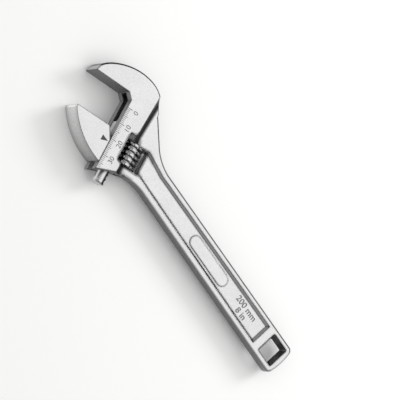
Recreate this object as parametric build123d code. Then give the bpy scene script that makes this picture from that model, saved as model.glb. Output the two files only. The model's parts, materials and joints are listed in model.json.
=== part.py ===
from build123d import *
import math
import os

# An adjustable wrench, 200 mm long, drawn lying flat with the jaws open at rest.
# The handle runs along X towards the jaws, Y points to the movable jaw's side and Z is up.
# Head features are drawn in the head's own plane: p runs out of the head to the jaw tips,
# and q runs from the fixed jaw's face in the opening direction.

# Driving dimensions, millimetres and degrees
JAW_ANGLE = 21.0            # jaw faces against the handle's axis
HEAD_X = 174.9              # guide edge at the fixed jaw's face
HEAD_Y = -18.4
HEAD_HALF = 7.2             # half of the head's thickness
HANDLE_HALF = 3.5           # half of the handle's thickness
HANDLE_ROOT_WIDTH = 19.1    # handle's width at the neck
HANDLE_END_WIDTH = 20.0     # handle's width at the free end
OPENING_AT_REST = 22.3
OPENING_MAX = 30.0
JAW_REACH = 26.5            # guide edge to jaw tip
GUIDE_END = 47.1            # lower corner of the head
STEP_TOP = -14.2            # start of the slope from the head down to the neck
STEP_RUN = 5.6
STEP_SKEW = 2.7             # the slope's line against the guide
EDGE_ROUND = 1.3
CROWN_ROUND = 1.0           # rounding of the fixed jaw's back

# Worm and rack
PITCH = 3.0
WORM_P = -16.5              # worm's axis
WORM_R = 6.5
WORM_ROOT_R = 4.5
WORM_TOP = 22.3
WORM_END = 35.7
CREST_WIDTH = 1.4
CREST_ROOT_WIDTH = 2.0
NOTCHES = 11
NOTCH_WIDTH = 1.4
NOTCH_DEPTH = 1.0
BORE_R = 2.05
ROD_P = -7.9                # rack rod's axis
ROD_R = 3.4
ROD_TOP = -6.0              # from the movable jaw's face
ROD_END = 29.3
MESH_PLAY = 0.35            # total play along the worm's axis
CREST_PLAY = 0.3

# Slot, window and running clearances
SLOT_HALF = 2.7
SLOT_TOP = -6.6
SLIDE_GAP = 0.2
WINDOW_LEFT = -9.0
WINDOW_RIGHT = -25.4
WINDOW_TOP = 18.5           # at the head's faces
WINDOW_INNER_TOP = 21.8     # between the two slopes
WINDOW_INNER_HALF = 3.4
WINDOW_FALL = 2.6           # the top edge's fall towards the neck, at the faces
WINDOW_BOTTOM = 36.0

# Pin and spring
PIN_R = 2.0
PIN_GAP = 0.02
PIN_TOP = 12.5
PIN_HEAD_R = 2.7
PIN_HEAD_TOP = 39.0
PIN_HEAD_END = 41.0
SEAT_R = 3.1                # bore for the spring, in the head and in the worm
SEAT_TOP = 18.7
SPRING_R = 2.5              # mean radius of the coil
SPRING_WIRE_R = 0.3
SPRING_DEPTH = 5.0          # depth of the spring's bore in the worm
SPRING_TURNS = 5

# Handle features
PANEL_DEPTH = 1.2
PANEL_DRAFT = 50.0
PANEL_END_X = 20.9
PAD_CENTRE_X = 73.5
PAD_LENGTH = 34.0
PAD_WIDTH = 7.6
PAD_RAISE = 0.35
HOLE_CENTRE_X = 9.75
HOLE_THROAT = (8.4, 10.2)
HOLE_MOUTH = (12.2, 14.0)

FULL = 80.0                 # longer than any cut needs
COS = math.cos(math.radians(JAW_ANGLE))
SIN = math.sin(math.radians(JAW_ANGLE))
HEAD = Plane(origin=(HEAD_X, HEAD_Y, 0), x_dir=(COS, SIN, 0), z_dir=(0, 0, 1))


def head_point(p, q, z=0.0):
    """A point of the head's plane in the wrench's frame."""
    return HEAD.from_local_coords(Vector(p, q, z))


def along_slide(p, q):
    """A plane across the slide direction, facing the opening direction."""
    return Plane(origin=head_point(p, q), x_dir=(COS, SIN, 0), z_dir=(-SIN, COS, 0))


def rod_between(p, q_start, q_end, radius):
    """A cylinder along the slide direction."""
    return extrude(along_slide(p, q_start) * Circle(radius), q_end - q_start)


def body_outline():
    """The flat outline of the fixed jaw, head, neck and handle."""
    root_y = HANDLE_ROOT_WIDTH / 2
    end_y = HANDLE_END_WIDTH / 2
    guide_low = head_point(0, GUIDE_END)
    nose_low = head_point(JAW_REACH - 0.1, -1.2)
    crown_knots = [(25.1, -4.2), (22.5, -6.8), (16.8, -10.1), (10.0, -12.4),
                   (2.3, -13.4), (-4.5, -12.8), (-10.2, -10.9)]
    crown_top = [head_point(p, q) for p, q in crown_knots]
    back_end = head_point(-14.4, -7.9)
    right_neck = Vector(142.0, -15.2)
    left_neck = Vector(149.0, 17.4)
    with BuildLine() as line:
        Polyline(guide_low, head_point(0, 3.4), head_point(3.4, 0), head_point(JAW_REACH, 0), nose_low)
        Spline(nose_low, *crown_top, back_end)
        Line(back_end, right_neck)
        ThreePointArc(right_neck, (134.2, -11.1), (126.0, -root_y))
        Line((126.0, -root_y), (3.7, -end_y))
        ThreePointArc((3.7, -end_y), (1.77, -9.3), (0.76, -7.59))
        ThreePointArc((0.76, -7.59), (0, 0), (0.76, 7.59))
        ThreePointArc((0.76, 7.59), (1.77, 9.3), (3.7, end_y))
        Line((3.7, end_y), (128.0, root_y))
        ThreePointArc((128.0, root_y), (139.0, 11.5), left_neck)
        Line(left_neck, guide_low)
    return make_face(line.edges())


def step_plane():
    """The plane of the step's section: X across the step towards the jaws, Y up."""
    angle = math.radians(JAW_ANGLE - STEP_SKEW)
    across = Vector(math.cos(angle), math.sin(angle), 0)
    run = Vector(-math.sin(angle), math.cos(angle), 0)
    return Plane(origin=head_point(STEP_TOP, -8.0) - run * FULL, x_dir=across, z_dir=run.reverse())


def across_step(section):
    """A section of the step swept along the whole head."""
    return extrude(step_plane() * section, -3 * FULL)


def is_crown(edge):
    """Whether an outline edge lies on the fixed jaw's back, from its nose to the neck."""
    place = HEAD.to_local_coords(edge.center())
    on_crown = place.X > 0 and place.Y < -3.0
    on_back = -25.0 < place.X <= 0 and place.Y < 5.0
    return on_crown or on_back


def head_block(outline):
    """The thick head, sloped down on both faces to the neck's thickness."""
    foot = -STEP_RUN - 0.4
    hollow = (-1.7, HANDLE_HALF + 1.35)
    with BuildLine() as line:
        Polyline((0, -HEAD_HALF), (FULL, -HEAD_HALF), (FULL, HEAD_HALF), (0, HEAD_HALF))
        ThreePointArc((0, HEAD_HALF), hollow, (-STEP_RUN, HANDLE_HALF))
        Polyline((-STEP_RUN, HANDLE_HALF), (foot, HANDLE_HALF), (foot, -HANDLE_HALF),
                 (-STEP_RUN, -HANDLE_HALF))
        ThreePointArc((-STEP_RUN, -HANDLE_HALF), (hollow[0], -hollow[1]), (0, -HEAD_HALF))
    block = extrude(outline, HEAD_HALF, both=True)
    level_faces = block.faces().filter_by(Axis.Z)
    crown = [edge for edge in level_faces.edges() if is_crown(edge)]
    return fillet(crown, CROWN_ROUND) & across_step(make_face(line.edges()))


def handle_blank(outline):
    """The neck and handle, with rounded long edges."""
    side = FULL * 3
    keep = across_step(Pos(-side / 2 - 1.5, 0) * Rectangle(side, side))
    blank = extrude(outline, HANDLE_HALF, both=True) & keep
    level_faces = blank.faces().filter_by(Axis.Z)
    edges = [edge for edge in level_faces.edges() if edge.center().X < 154.5]
    return fillet(edges, EDGE_ROUND)


def panel_cuts():
    """The recessed panel on each face of the handle, open to the worm's window."""
    outline = [
        (PANEL_END_X, -7.0),
        (128.0, -6.1),
        (143.5, -8.0),
        (147.5, -6.0),
        (143.5, 7.0),
        (138.9, 5.6),
        (128.0, 5.9),
        (PANEL_END_X, 7.0),
    ]
    face = make_face(Polyline(*outline, close=True))
    upper = extrude(Plane.XY.offset(HANDLE_HALF) * face, -PANEL_DEPTH, taper=PANEL_DRAFT)
    return [upper, mirror(upper, Plane.XY)]


def pads():
    """The raised oblong pad on each panel's floor."""
    floor = HANDLE_HALF - PANEL_DEPTH
    face = Pos(PAD_CENTRE_X, 0, floor) * SlotOverall(PAD_LENGTH, PAD_WIDTH)
    upper = extrude(face, PAD_RAISE)
    return [upper, mirror(upper, Plane.XY)]


def hang_hole():
    """The drafted hole at the handle's end, narrowest at mid thickness."""
    throat = Pos(HOLE_CENTRE_X, 0, 0) * RectangleRounded(*HOLE_THROAT, 0.5)
    mouth = Pos(HOLE_CENTRE_X, 0, HANDLE_HALF) * RectangleRounded(*HOLE_MOUTH, 0.9)
    upper = loft([throat, mouth])
    return [upper, mirror(upper, Plane.XY)]


def slide_way():
    """The slot for the jaw's web and the round channel for its rod."""
    slot = HEAD * Pos((ROD_P + 3.0) / 2, (SLOT_TOP + FULL) / 2, 0)
    slot = slot * Box(3.0 - ROD_P, FULL - SLOT_TOP, 2 * SLOT_HALF)
    channel = rod_between(ROD_P, SLOT_TOP, FULL, ROD_R + SLIDE_GAP)
    return [slot, channel]


def window_face(top, fall, height):
    """The window's five-sided section at a height, its top edge falling away to the right."""
    corners = [
        (WINDOW_LEFT, WINDOW_BOTTOM),
        (WINDOW_LEFT, top),
        (WINDOW_LEFT - 4.2, top),
        (WINDOW_RIGHT, top + fall),
        (WINDOW_RIGHT, WINDOW_BOTTOM),
    ]
    return HEAD * Pos(0, 0, height) * make_face(Polyline(*corners, close=True))


def window():
    """The window for the worm, its top wall sloped back towards both faces."""
    inner_fall = 0.2
    middle = extrude(window_face(WINDOW_INNER_TOP, inner_fall, 0), WINDOW_INNER_HALF, both=True)
    slope = (WINDOW_INNER_TOP - WINDOW_TOP) / (HEAD_HALF - WINDOW_INNER_HALF)
    beyond = HEAD_HALF + 1.0
    inner = window_face(WINDOW_INNER_TOP, inner_fall, WINDOW_INNER_HALF)
    upper = loft([inner, window_face(WINDOW_TOP - slope, WINDOW_FALL, beyond)])
    return [middle, upper, mirror(upper, Plane.XY)]


def pin_holes():
    """The pin's hole, the recess for its head and the spring's seat."""
    shank = rod_between(WORM_P, PIN_TOP - 0.5, FULL, PIN_R + PIN_GAP)
    recess = rod_between(WORM_P, PIN_HEAD_TOP, FULL, PIN_HEAD_R + 0.1)
    seat = rod_between(WORM_P, SEAT_TOP, WORM_TOP + 1, SEAT_R)
    return [shank, recess, seat]


def wrench_body():
    """The forged body: handle, neck, head and fixed jaw in one piece."""
    outline = body_outline()
    body = head_block(outline) + handle_blank(outline)
    body = body - panel_cuts() + pads() - hang_hole()
    return body - slide_way() - window() - pin_holes()


def rack_rod():
    """The rod under the movable jaw, with rack grooves shaped by the worm's thread."""
    top = OPENING_AT_REST + ROD_TOP
    end = OPENING_AT_REST + ROD_END
    rod = rod_between(ROD_P, top, end, ROD_R)
    rod = chamfer(rod.edges().filter_by(GeomType.CIRCLE), 0.5)
    lead = math.degrees(math.atan(PITCH / (2 * math.pi * (WORM_R - 0.6))))
    outer = WORM_R + CREST_PLAY
    tip_half = (CREST_WIDTH + MESH_PLAY) / 2
    root_half = (CREST_ROOT_WIDTH + MESH_PLAY) / 2
    ring_profile = [(0, -root_half), (WORM_ROOT_R, -root_half), (outer, -tip_half),
                    (outer, tip_half), (WORM_ROOT_R, root_half), (0, root_half)]
    ring = revolve(make_face(Polyline(*ring_profile, close=True)), Axis.Y)
    first = math.ceil((top - WORM_TOP) / PITCH)
    last = math.floor((end + 1.0 - WORM_TOP) / PITCH)
    grooves = []
    for turn in range(first, last + 1):
        place = HEAD * Pos(WORM_P, WORM_TOP + turn * PITCH, 0) * Rot(-lead, 0, 0)
        grooves.append(place * ring)
    return rod - grooves


def movable_jaw():
    """The movable jaw: plate, web and rack rod in one piece."""
    inner = SLIDE_GAP
    face_q = OPENING_AT_REST
    tip_low = (JAW_REACH - 0.1, face_q + 1.8)
    heel = (inner + 0.3, face_q + 20.2)
    with BuildLine() as line:
        Polyline(heel, (inner, face_q + 20.2), (inner, face_q + 6.9), (4.4, face_q),
                 (JAW_REACH, face_q), tip_low)
        ThreePointArc(tip_low, (14.9, face_q + 13.4), heel)
    plate = extrude(HEAD * make_face(line.edges()), HEAD_HALF, both=True)
    web_top = face_q + ROD_TOP
    web_end = face_q + 19.5
    web_low = ROD_P
    web_high = -0.3
    web = HEAD * Pos((web_low + web_high) / 2, (web_top + web_end) / 2, 0)
    web = web * Box(web_high - web_low, web_end - web_top, 2 * (SLOT_HALF - SLIDE_GAP))
    bridge = HEAD * Pos(1.0, face_q + 13.3, 0) * Box(4.0, 12.4, 2 * (SLOT_HALF - SLIDE_GAP))
    return plate + web + bridge + rack_rod()


def worm():
    """The knurled adjusting worm, left-handed, meshing with the rack."""
    length = WORM_END - WORM_TOP
    core = Cylinder(WORM_ROOT_R + 0.05, length, align=(Align.CENTER, Align.CENTER, Align.MIN))
    turns_height = (math.ceil(length / PITCH) + 2) * PITCH
    path = Helix(PITCH, turns_height, WORM_ROOT_R, lefthand=True)
    depth = WORM_R - WORM_ROOT_R
    profile = [(0, -CREST_ROOT_WIDTH / 2), (depth, -CREST_WIDTH / 2),
               (depth, CREST_WIDTH / 2), (0, CREST_ROOT_WIDTH / 2)]
    section = make_face(Polyline(*profile, close=True))
    section = Plane(origin=(WORM_ROOT_R, 0, 0), x_dir=(1, 0, 0), z_dir=(0, -1, 0)) * section
    thread = sweep(section, path=path, is_frenet=True)
    thread = Pos(0, 0, -PITCH) * thread
    blank = Cylinder(WORM_R + 1, length, align=(Align.CENTER, Align.CENTER, Align.MIN))
    ridge = thread & blank
    notch = Pos(WORM_R, 0, length / 2) * Box(2 * NOTCH_DEPTH, NOTCH_WIDTH, 2 * length)
    ridge = ridge - PolarLocations(0, NOTCHES, start_angle=0) * notch
    worm_solid = core + ridge
    bore = Cylinder(BORE_R, 4 * length)
    spring_bore = Cylinder(SEAT_R, 2 * SPRING_DEPTH)
    worm_solid = worm_solid - bore - spring_bore
    return along_slide(WORM_P, WORM_TOP).location * worm_solid


def worm_pin():
    """The slotted pin that the worm turns on."""
    shank = rod_between(WORM_P, PIN_TOP, PIN_HEAD_TOP, PIN_R)
    head = rod_between(WORM_P, PIN_HEAD_TOP, PIN_HEAD_END, PIN_HEAD_R)
    slot = HEAD * Pos(WORM_P, PIN_HEAD_END, 0) * Box(8.0, 2.0, 0.8)
    return shank + head - slot


def worm_spring():
    """The coil spring that takes up the worm's end play."""
    top = SEAT_TOP + SPRING_WIRE_R
    end = WORM_TOP + SPRING_DEPTH - SPRING_WIRE_R
    height = end - top
    path = Helix(height / SPRING_TURNS, height, SPRING_R)
    section = Plane(origin=path @ 0, z_dir=path % 0) * Circle(SPRING_WIRE_R)
    coil = sweep(section, path=path, is_frenet=True)
    return along_slide(WORM_P, top).location * coil


def to_standing_frame(shapes):
    """The move that puts the origin at the centre of the bounding box's bottom."""
    boxes = [shape.bounding_box() for shape in shapes]
    low = [min(getattr(box.min, axis) for box in boxes) for axis in "XYZ"]
    high = [max(getattr(box.max, axis) for box in boxes) for axis in "XYZ"]
    return Pos(-(low[0] + high[0]) / 2, -(low[1] + high[1]) / 2, -low[2])


pieces = {
    "wrench_body": wrench_body(),
    "movable_jaw": movable_jaw(),
    "adjusting_worm": worm(),
    "worm_pin": worm_pin(),
    "worm_spring": worm_spring(),
}
move = to_standing_frame(pieces.values())
os.makedirs("parts", exist_ok=True)
for name, shape in pieces.items():
    export_step(move * shape, f"parts/{name}.step")
print("frame shift", move.position)
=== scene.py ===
import json

import bmesh
import bpy
from mathutils import Matrix, Vector


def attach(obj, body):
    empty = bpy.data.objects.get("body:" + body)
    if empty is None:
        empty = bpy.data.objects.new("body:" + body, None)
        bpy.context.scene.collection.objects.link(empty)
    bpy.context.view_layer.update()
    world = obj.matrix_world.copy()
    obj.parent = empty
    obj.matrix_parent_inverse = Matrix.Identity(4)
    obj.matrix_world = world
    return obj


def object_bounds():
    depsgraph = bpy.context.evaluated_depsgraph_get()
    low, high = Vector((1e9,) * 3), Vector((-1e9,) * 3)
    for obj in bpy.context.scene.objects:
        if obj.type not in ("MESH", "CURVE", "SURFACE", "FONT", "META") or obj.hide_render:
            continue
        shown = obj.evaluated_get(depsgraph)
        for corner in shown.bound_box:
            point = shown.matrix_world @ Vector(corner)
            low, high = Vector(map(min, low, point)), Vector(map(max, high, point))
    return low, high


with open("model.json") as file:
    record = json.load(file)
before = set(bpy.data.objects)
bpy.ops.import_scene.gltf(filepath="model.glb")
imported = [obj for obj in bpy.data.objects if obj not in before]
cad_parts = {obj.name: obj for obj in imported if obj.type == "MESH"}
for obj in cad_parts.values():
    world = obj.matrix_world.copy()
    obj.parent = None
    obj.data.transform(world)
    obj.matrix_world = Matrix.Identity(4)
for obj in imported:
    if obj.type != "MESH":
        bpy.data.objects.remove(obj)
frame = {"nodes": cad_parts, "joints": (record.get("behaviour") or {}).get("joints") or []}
cad_low, cad_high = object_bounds()
nodes = frame["nodes"]

# ---------------------------------------------------------------- places on the wrench

# The head has its own axes: p runs out to the jaw tips, q is the opening direction
MM = 0.001
joints = {joint["name"]: joint for joint in frame["joints"]}
Q = Vector(joints["jaw_slide"]["axis"]).normalized()
P = Vector((Q.y, -Q.x, 0.0))
WORM_P, WORM_TOP = -16.5, 22.3    # the worm's upper end, in mm of p and q
worm_end = Vector(joints["worm_turn"]["pos_m"])
# Where the fixed jaw's face meets the edge that the movable jaw slides along
GUIDE_CORNER = worm_end - P * (WORM_P * MM) - Q * (WORM_TOP * MM)
GUIDE_CORNER.z = 0.0
HANDLE_END = cad_low.x
HANDLE_AXIS = GUIDE_CORNER.y + 18.4 * MM
FRONT = cad_high.z                # front faces of head and jaw
MIDDLE = FRONT / 2
PANEL_FLOOR = MIDDLE + 2.3 * MM
NECK = (36 * MM, 42 * MM)         # x where the handle gives way to the head
WINDOW_CENTRE = (-17.5, 27.5)     # of the worm's window, in mm of p and q
WINDOW_REACH = (13.5 * MM, 15.0 * MM)
PANEL_HALF = (8.2 * MM, 8.8 * MM)


def head(p, q, z=FRONT):
    """A point of the head given in millimetres of p and q."""
    return GUIDE_CORNER + P * (p * MM) + Q * (q * MM) + Vector((0, 0, z))


# ---------------------------------------------------------------- shader helpers


def new_material(name):
    material = bpy.data.materials.new(name)
    material.use_nodes = True
    tree = material.node_tree
    tree.nodes.clear()
    output = tree.nodes.new("ShaderNodeOutputMaterial")
    shader = tree.nodes.new("ShaderNodeBsdfPrincipled")
    tree.links.new(shader.outputs[0], output.inputs[0])
    return material, tree, shader


def node(tree, kind, links=None, **settings):
    """A new node with its inputs linked or set by name."""
    made = tree.nodes.new(kind)
    for key, value in settings.items():
        setattr(made, key, value)
    for key, value in (links or {}).items():
        if isinstance(value, bpy.types.NodeSocket):
            tree.links.new(value, made.inputs[key])
        else:
            made.inputs[key].default_value = value
    return made


def mapped(tree, value, low, high, out_low, out_high):
    """A smooth step of value from out_low to out_high."""
    step = node(tree, "ShaderNodeMapRange", {0: value, 1: low, 2: high, 3: out_low, 4: out_high},
                interpolation_type="SMOOTHSTEP")
    return step.outputs[0]


def rising(tree, value, low, high):
    return mapped(tree, value, low, high, 0.0, 1.0)


def falling(tree, value, low, high):
    return mapped(tree, value, low, high, 1.0, 0.0)


def grey(value):
    return (value, value, value, 1.0)


def mixed(tree, factor, low, high):
    made = node(tree, "ShaderNodeMix", {0: factor, 6: low, 7: high}, data_type="RGBA")
    return made.outputs[2]


def darkened(tree, colour, mask, tone):
    """The colour, multiplied by the tone where the mask is 1."""
    shade = mixed(tree, mask, grey(1.0), grey(tone))
    made = node(tree, "ShaderNodeMix", {0: 1.0, 6: colour, 7: shade}, data_type="RGBA",
                blend_type="MULTIPLY")
    return made.outputs[2]


def dot(tree, vector, axis):
    made = node(tree, "ShaderNodeVectorMath", {0: vector, 1: tuple(axis)}, operation="DOT_PRODUCT")
    return made.outputs["Value"]


def combined(tree, one, operation, other=0.0):
    return node(tree, "ShaderNodeMath", {0: one, 1: other}, operation=operation).outputs[0]


def noise(tree, where, scale, detail, roughness):
    links = {"Vector": where, "Scale": scale, "Detail": detail, "Roughness": roughness}
    return node(tree, "ShaderNodeTexNoise", links).outputs[0]


def bevelled(tree, radius):
    """The surface's normal as if its edges were rounded to the radius."""
    return node(tree, "ShaderNodeBevel", {"Radius": radius}, samples=6).outputs[0]


# ---------------------------------------------------------------- masks on the metal


def edge_mask(tree, radius):
    """1 along creases and edges of the shape, 0 on its plain faces."""
    true_normal = node(tree, "ShaderNodeNewGeometry").outputs["True Normal"]
    agree = node(tree, "ShaderNodeVectorMath", {0: true_normal, 1: bevelled(tree, radius)},
                 operation="DOT_PRODUCT")
    return falling(tree, agree.outputs["Value"], 0.95, 0.999)


def inner_edges(tree, where):
    """1 near the worm's window, less in the handle's panel and hole, 0 elsewhere."""
    centre = tuple(head(*WINDOW_CENTRE, MIDDLE))
    from_window = node(tree, "ShaderNodeVectorMath", {0: where, 1: centre},
                       operation="DISTANCE").outputs["Value"]
    near_window = falling(tree, from_window, *WINDOW_REACH)
    place = node(tree, "ShaderNodeSeparateXYZ", {0: where}).outputs
    from_axis = combined(tree, combined(tree, place[1], "SUBTRACT", HANDLE_AXIS), "ABSOLUTE")
    in_panel = falling(tree, from_axis, *PANEL_HALF)
    on_handle = mapped(tree, place[0], *NECK, 0.4, 0.0)
    return combined(tree, near_window, "MAXIMUM", combined(tree, in_panel, "MULTIPLY", on_handle))


def rounded_back(tree, facing):
    """1 where a rounded edge turns over to -Y, 0 on level faces and on upright walls."""
    turned = dot(tree, facing, (0, -1, 0))
    return combined(tree, rising(tree, turned, 0.02, 0.16), "MULTIPLY",
                    falling(tree, turned, 0.75, 0.95))


# ---------------------------------------------------------------- materials


def wall_painted_light_and_shade(tree, where, facing, on_head, side, tip, wall_edge):
    """Painted light and shade on forged walls: painted lighter at the jaw tips, and changed by
    wall_edge towards their borders as painted shade.
    """
    outward = rising(tree, dot(tree, facing, P), 0.25, 1.0)
    tone = mixed(tree, combined(tree, outward, "MULTIPLY", on_head), grey(side), grey(tip))
    off_middle = combined(tree, dot(tree, where, (0, 0, 1)), "SUBTRACT", MIDDLE)
    near_face = rising(tree, combined(tree, off_middle, "ABSOLUTE"), 0.3 * MIDDLE, MIDDLE)
    return darkened(tree, tone, near_face, wall_edge)


def plated_metal_with_painted_light_and_shade(name, face=0.55, side=0.18, tip=0.5, rough=0.3, line=0.05, crevice=7.0,
                 wall_edge=1.0, edge=0.8, inner_edge=2.6, away=0.07):
    """Satin chrome with painted light and shade: level faces, walls in painted shade, fine grain,
    painted dark edge lines and painted shade in crevices.

    face, side, tip: tones of level faces, of walls in painted shade, and of walls at the jaw tips
    painted lighter
    line, edge, inner_edge: tone of the painted dark edge lines, their reach in mm outside and
    inside
    crevice: how far apart in mm the walls of a crevice painted dark as shade may be
    wall_edge, away: painted shade factors at a wall's borders and on edges rounded towards -Y
    """
    painted_crevice_shade, painted_step_shade, grain_tone, cloud_tone = 0.04, 0.5, 0.92, 0.95
    material, tree, shader = new_material(name)
    place = node(tree, "ShaderNodeTexCoord")
    where, facing = place.outputs["Object"], place.outputs["Normal"]
    level = combined(tree, dot(tree, facing, (0, 0, 1)), "ABSOLUTE")
    on_head = rising(tree, dot(tree, where, (1, 0, 0)), *NECK)
    fine = noise(tree, where, 1400.0, 3.0, 0.65)
    cloud = noise(tree, where, 90.0, 3.0, 0.6)

    # painted shade and light: walls darker than the level faces, painted lighter where they face
    # out to the jaw tips
    walls = wall_painted_light_and_shade(tree, where, facing, on_head, side, tip, wall_edge)
    faces = mixed(tree, rising(tree, cloud, 0.3, 0.7), grey(face * cloud_tone), grey(face))
    colour = mixed(tree, rising(tree, level, 0.45, 0.995), walls, faces)
    # painted shade: rounded edges turning over to -Y darkened by the away tone
    colour = darkened(tree, colour, rounded_back(tree, facing), away)
    # painted shade: on the head, walls facing back to the neck darkened by the step tone
    towards_neck = rising(tree, dot(tree, facing, -P), 0.0, 0.4)
    on_step = combined(tree, towards_neck, "MULTIPLY", on_head)
    colour = darkened(tree, colour, on_step, painted_step_shade)
    colour = darkened(tree, colour, falling(tree, fine, 0.35, 0.65), grain_tone)

    # painted shade: dark lines along edges, wider round the worm's window and in the handle's
    # panel and hole
    reach = mapped(tree, inner_edges(tree, where), 0.0, 1.0, edge * MM, inner_edge * MM)
    on_faces = mapped(tree, level, 0.4, 0.7, 0.5, 1.0)
    edges = combined(tree, edge_mask(tree, reach), "MULTIPLY", on_faces)
    colour = darkened(tree, colour, edges, line)
    # painted shade: crevices, the slot and the worm's gaps darkened by ambient occlusion
    open_air = node(tree, "ShaderNodeAmbientOcclusion", {"Distance": crevice * MM}, samples=8,
                    only_local=True).outputs["AO"]
    colour = darkened(tree, colour, falling(tree, open_air, 0.1, 0.6), painted_crevice_shade)

    tree.links.new(colour, shader.inputs["Base Color"])
    shader.inputs["Metallic"].default_value = 1.0
    roughness = mapped(tree, fine, 0.3, 0.7, rough - 0.05, rough + 0.07)
    tree.links.new(roughness, shader.inputs["Roughness"])
    bump = node(tree, "ShaderNodeBump", {"Strength": 0.12, "Distance": 0.2 * MM, "Height": fine,
                                         "Normal": bevelled(tree, 0.35 * MM)})
    tree.links.new(bump.outputs[0], shader.inputs["Normal"])
    return material


def paint(name, tone):
    """A dull dark fill, worn in fine specks."""
    material, tree, shader = new_material(name)
    where = node(tree, "ShaderNodeTexCoord").outputs["Object"]
    wear = noise(tree, where, 2500.0, 4.0, 0.5)
    worn_tone = tone * 2.2 + 0.02
    colour = mixed(tree, rising(tree, wear, 0.3, 0.8), grey(tone), grey(worn_tone))
    tree.links.new(colour, shader.inputs["Base Color"])
    shader.inputs["Roughness"].default_value = 0.6
    return material


def give(piece, material):
    piece.data.materials.clear()
    piece.data.materials.append(material)


# ---------------------------------------------------------------- frame nodes

# the side, tip, wall_edge, away, line and crevice settings set how strong the painted light and
# shade is on each piece
give(nodes["wrench_body"], plated_metal_with_painted_light_and_shade("body_chrome"))
give(nodes["movable_jaw"], plated_metal_with_painted_light_and_shade("jaw_chrome", side=0.55, tip=1.0, wall_edge=0.75))
give(nodes["adjusting_worm"],
     plated_metal_with_painted_light_and_shade("worm_chrome", side=0.5, tip=0.6, rough=0.2, crevice=2.4, line=0.12,
                  inner_edge=0.5, away=1.0))
give(nodes["worm_pin"], plated_metal_with_painted_light_and_shade("pin_steel", face=0.5, side=0.3, tip=0.3))
give(nodes["worm_spring"], plated_metal_with_painted_light_and_shade("spring_wire", face=0.4, side=0.3, tip=0.3))

# ---------------------------------------------------------------- marks

ink = paint("mark_fill", 0.02)
pale_ink = paint("scale_fill", 0.035)
PROUD = 0.01 * MM    # how far an inlay stands out of its face
DEEP = 0.12 * MM     # how far it reaches in
SCALE_ZERO = 8.0     # q of the scale's first tick
SCALE_TICKS = 38
TICK_GAP = 0.35      # between the ticks and the guide edge


def placed(name, mesh, material, body):
    """A new piece with the mesh and the material, riding on the body."""
    piece = bpy.data.objects.new(name, mesh)
    bpy.context.scene.collection.objects.link(piece)
    give(piece, material)
    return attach(piece, body)


def inlay(name, outlines, material, body):
    """Flat inlaid pieces with the given outlines in the front face."""
    made = bmesh.new()
    for points in outlines:
        lower = [made.verts.new((point.x, point.y, FRONT - DEEP)) for point in points]
        upper = [made.verts.new((point.x, point.y, FRONT + PROUD)) for point in points]
        made.faces.new(lower[::-1])
        made.faces.new(upper)
        for i in range(len(points)):
            j = (i + 1) % len(points)
            made.faces.new((lower[i], lower[j], upper[j], upper[i]))
    bmesh.ops.recalc_face_normals(made, faces=made.faces)
    mesh = bpy.data.meshes.new(name)
    made.to_mesh(mesh)
    made.free()
    return placed(name, mesh, material, body)


def tick(step):
    """The outline of one of the scale's ticks, longer at every fifth and tenth."""
    if step % 10 == 0:
        length, width = 3.0, 0.38
    elif step % 5 == 0:
        length, width = 2.4, 0.34
    else:
        length, width = 1.8, 0.30
    q, half = SCALE_ZERO + step, width / 2
    start, end = -TICK_GAP, -TICK_GAP - length
    return [head(start, q - half), head(start, q + half), head(end, q + half), head(end, q - half)]


def lettering(name, words, size, centre, along, up, depth, material):
    """Text laid on a face of the body, facing +Z."""
    curve = bpy.data.curves.new(name, "FONT")
    curve.body = words
    curve.size = size
    curve.align_x = "CENTER"
    curve.align_y = "CENTER"
    curve.extrude = depth
    curve.resolution_u = 4
    text = bpy.data.objects.new(name + "_text", curve)
    bpy.context.scene.collection.objects.link(text)
    bpy.context.view_layer.update()
    evaluated = text.evaluated_get(bpy.context.evaluated_depsgraph_get())
    mesh = bpy.data.meshes.new_from_object(evaluated)
    bpy.data.objects.remove(text)
    turn = Matrix((along, up, Vector((0, 0, 1)))).transposed().to_4x4()
    mesh.transform(Matrix.Translation(centre) @ turn)
    return placed(name, mesh, material, "body")


inlay("scale_ticks", [tick(step) for step in range(SCALE_TICKS)], pale_ink, "body")
for tens in range(4):
    number = str(10 * tens)
    centre = head(-6.1, SCALE_ZERO + 10 * tens + 0.3, FRONT + PROUD - DEEP / 2)
    lettering("scale_" + number, number, 4.2 * MM, centre, -Q, P, DEEP / 2, pale_ink)

POINTER_Q = 30.3
pointer = [head(5.3, POINTER_Q - 1.6), head(5.3, POINTER_Q + 1.6), head(0.9, POINTER_Q)]
inlay("pointer", [pointer], ink, "jaw")

letter_metal = plated_metal_with_painted_light_and_shade("raised_marks", face=0.22, side=0.05, line=0.6, edge=0.2,
                            inner_edge=0.2)
ALONG, UP = Vector((-1, 0, 0)), Vector((0, -1, 0))
for name, words, off_axis in (("size_metric", "200 mm", -2.1), ("size_inch", "8 in", 2.6)):
    centre = Vector((HANDLE_END + 38.0 * MM, HANDLE_AXIS + off_axis * MM, PANEL_FLOOR))
    mark = lettering(name, words, 5.2 * MM, centre, ALONG, UP, 0.3 * MM, letter_metal)

# ---------------------------------------------------------------- stage

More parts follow.
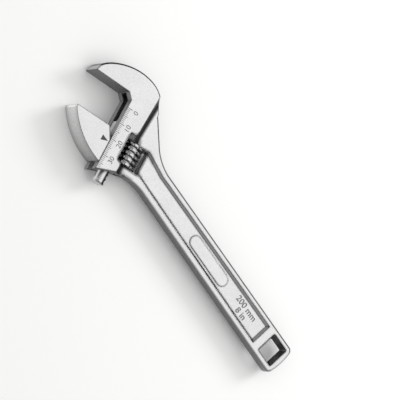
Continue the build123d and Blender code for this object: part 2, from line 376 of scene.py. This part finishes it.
REACH = 4.0
floor_material, _, floor_shader = new_material("floor")
floor_shader.inputs["Base Color"].default_value = (0.93, 0.93, 0.925, 1)
floor_shader.inputs["Roughness"].default_value = 0.9
floor_mesh = bpy.data.meshes.new("floor")
corners = [(-REACH, -REACH, 0), (REACH, -REACH, 0), (REACH, REACH, 0), (-REACH, REACH, 0)]
floor_mesh.from_pydata(corners, [], [(0, 1, 2, 3)])
floor = bpy.data.objects.new("floor", floor_mesh)
bpy.context.scene.collection.objects.link(floor)
give(floor, floor_material)


def soft_light(name, towards, distance, size, power):
    """A square light seen from the object in the given direction."""
    data = bpy.data.lights.new(name, "AREA")
    data.shape = "RECTANGLE"
    data.size = data.size_y = size
    data.energy = power
    light = bpy.data.objects.new(name, data)
    direction = Vector(towards).normalized()
    light.location = direction * distance
    light.rotation_mode = "QUATERNION"
    light.rotation_quaternion = direction.to_track_quat("Z", "Y")
    bpy.context.scene.collection.objects.link(light)


soft_light("overhead", towards=(-0.27, -0.39, 0.88), distance=1.2, size=1.6, power=7.0)
soft_light("key", towards=(-0.3, -0.8, 0.52), distance=1.0, size=0.35, power=3.7)

world = bpy.data.worlds.new("studio")
bpy.context.scene.world = world
world.use_nodes = True
background = world.node_tree.nodes["Background"]
background.inputs["Color"].default_value = (1.0, 1.0, 0.995, 1)
background.inputs["Strength"].default_value = 0.6

# ---------------------------------------------------------------- camera

AIM = GUIDE_CORNER + Vector((-0.0722045, 0.0006032, MIDDLE))
VIEW = Vector((0.27298, 0.38733, 0.88060)).normalized()        # from the aim to the camera
RIGHT = Vector((-0.54988, -0.68828, 0.47319)).normalized()     # the picture's own right
DISTANCE = 1.66678
camera = bpy.data.objects.new("camera", bpy.data.cameras.new("camera"))
camera.data.lens = 270
camera.data.sensor_width = 36
camera.data.clip_end = 20
camera.rotation_mode = "QUATERNION"
turn = Matrix((RIGHT, VIEW.cross(RIGHT), VIEW)).transposed().to_4x4()
camera.matrix_world = Matrix.Translation(AIM + VIEW * DISTANCE) @ turn
bpy.context.scene.collection.objects.link(camera)
bpy.context.scene.camera = camera
bpy.context.scene.view_settings.view_transform = "Standard"
